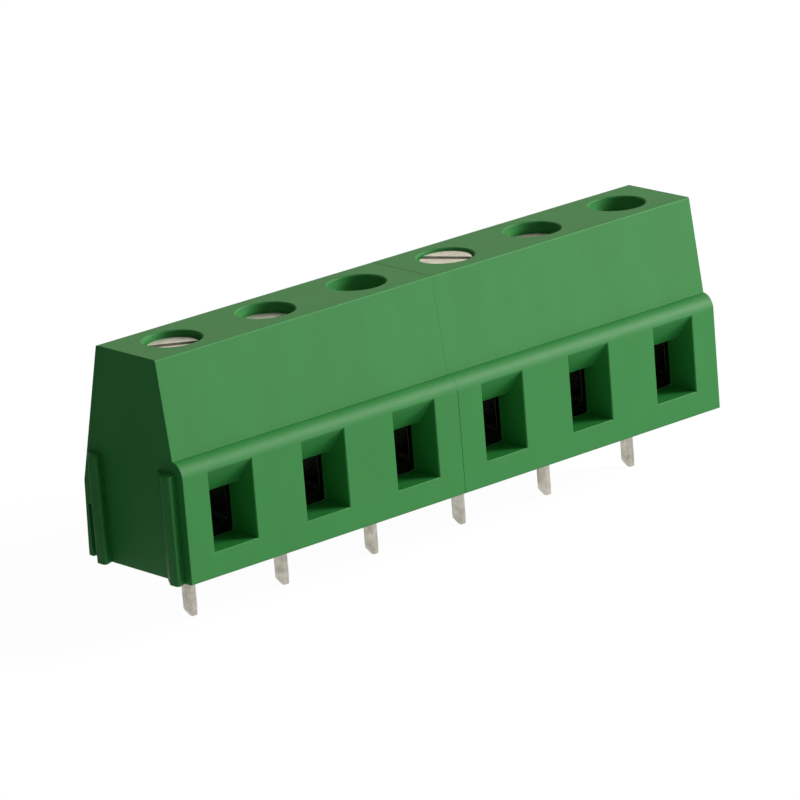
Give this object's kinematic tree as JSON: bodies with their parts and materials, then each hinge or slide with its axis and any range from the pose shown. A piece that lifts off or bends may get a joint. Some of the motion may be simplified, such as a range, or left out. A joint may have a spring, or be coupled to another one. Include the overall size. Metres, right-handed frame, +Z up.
{
  "type": "pcb screw terminal",
  "caption": "Green PCB screw terminal in a row: square wire entries in the front, slotted clamp screws from above, solder pins below.",
  "frame": {"origin": "on the board's surface, midway along the row of solder pins, where the two blocks meet", "axes": "+X along the row from the railed end, +Y from the wire entries to the back, +Z up from the board to the screws"},
  "size_m": [0.0457, 0.0103, 0.0182],
  "materials": {
    "housing": "moulded green polyamide, fine satin",
    "screw": "zinc-plated steel",
    "cage": "nickel-plated steel strip",
    "contact": "brass strip, matt tin plate"
  },
  "bodies": {
    "root": {"housing_left": "housing", "housing_right": "housing", "contact_1": "contact", "contact_2": "contact", "contact_3": "contact", "contact_4": "contact", "contact_5": "contact", "contact_6": "contact"},
    "screw_1": {"screw_1": "screw"},
    "cage_1": {"cage_1": "cage"},
    "screw_2": {"screw_2": "screw"},
    "cage_2": {"cage_2": "cage"},
    "screw_3": {"screw_3": "screw"},
    "cage_3": {"cage_3": "cage"},
    "screw_4": {"screw_4": "screw"},
    "cage_4": {"cage_4": "cage"},
    "screw_5": {"screw_5": "screw"},
    "cage_5": {"cage_5": "cage"},
    "screw_6": {"screw_6": "screw"},
    "cage_6": {"cage_6": "cage"}
  },
  "joints": [
    {"name": "screw_1_turn", "type": "hinge", "parent": "root", "child": "screw_1", "pos_m": [-0.01875, -0.00069, 0.01], "axis": [0, 0, -1], "range_deg": [0, 1800]},
    {"name": "cage_1_rise", "type": "slide", "parent": "root", "child": "cage_1", "axis": [0, 0, 1], "range_m": [0, 0.0025]},
    {"name": "screw_2_turn", "type": "hinge", "parent": "root", "child": "screw_2", "pos_m": [-0.01125, -0.00069, 0.01], "axis": [0, 0, -1], "range_deg": [0, 1800]},
    {"name": "cage_2_rise", "type": "slide", "parent": "root", "child": "cage_2", "axis": [0, 0, 1], "range_m": [0, 0.0025]},
    {"name": "screw_3_turn", "type": "hinge", "parent": "root", "child": "screw_3", "pos_m": [-0.00375, -0.00069, 0.01], "axis": [0, 0, -1], "range_deg": [0, 1800]},
    {"name": "cage_3_rise", "type": "slide", "parent": "root", "child": "cage_3", "axis": [0, 0, 1], "range_m": [0, 0.0025]},
    {"name": "screw_4_turn", "type": "hinge", "parent": "root", "child": "screw_4", "pos_m": [0.00375, -0.00069, 0.01], "axis": [0, 0, -1], "range_deg": [0, 1800]},
    {"name": "cage_4_rise", "type": "slide", "parent": "root", "child": "cage_4", "axis": [0, 0, 1], "range_m": [0, 0.0025]},
    {"name": "screw_5_turn", "type": "hinge", "parent": "root", "child": "screw_5", "pos_m": [0.01125, -0.00069, 0.01], "axis": [0, 0, -1], "range_deg": [0, 1800]},
    {"name": "cage_5_rise", "type": "slide", "parent": "root", "child": "cage_5", "axis": [0, 0, 1], "range_m": [0, 0.0025]},
    {"name": "screw_6_turn", "type": "hinge", "parent": "root", "child": "screw_6", "pos_m": [0.01875, -0.00069, 0.01], "axis": [0, 0, -1], "range_deg": [0, 1800]},
    {"name": "cage_6_rise", "type": "slide", "parent": "root", "child": "cage_6", "axis": [0, 0, 1], "range_m": [0, 0.0025]}
  ],
  "couplings": [
    {"joint": "screw_1_turn", "follows": "cage_1_rise", "rad_per_m": 12566},
    {"joint": "screw_2_turn", "follows": "cage_2_rise", "rad_per_m": 12566},
    {"joint": "screw_3_turn", "follows": "cage_3_rise", "rad_per_m": 12566},
    {"joint": "screw_4_turn", "follows": "cage_4_rise", "rad_per_m": 12566},
    {"joint": "screw_5_turn", "follows": "cage_5_rise", "rad_per_m": 12566},
    {"joint": "screw_6_turn", "follows": "cage_6_rise", "rad_per_m": 12566}
  ]
}
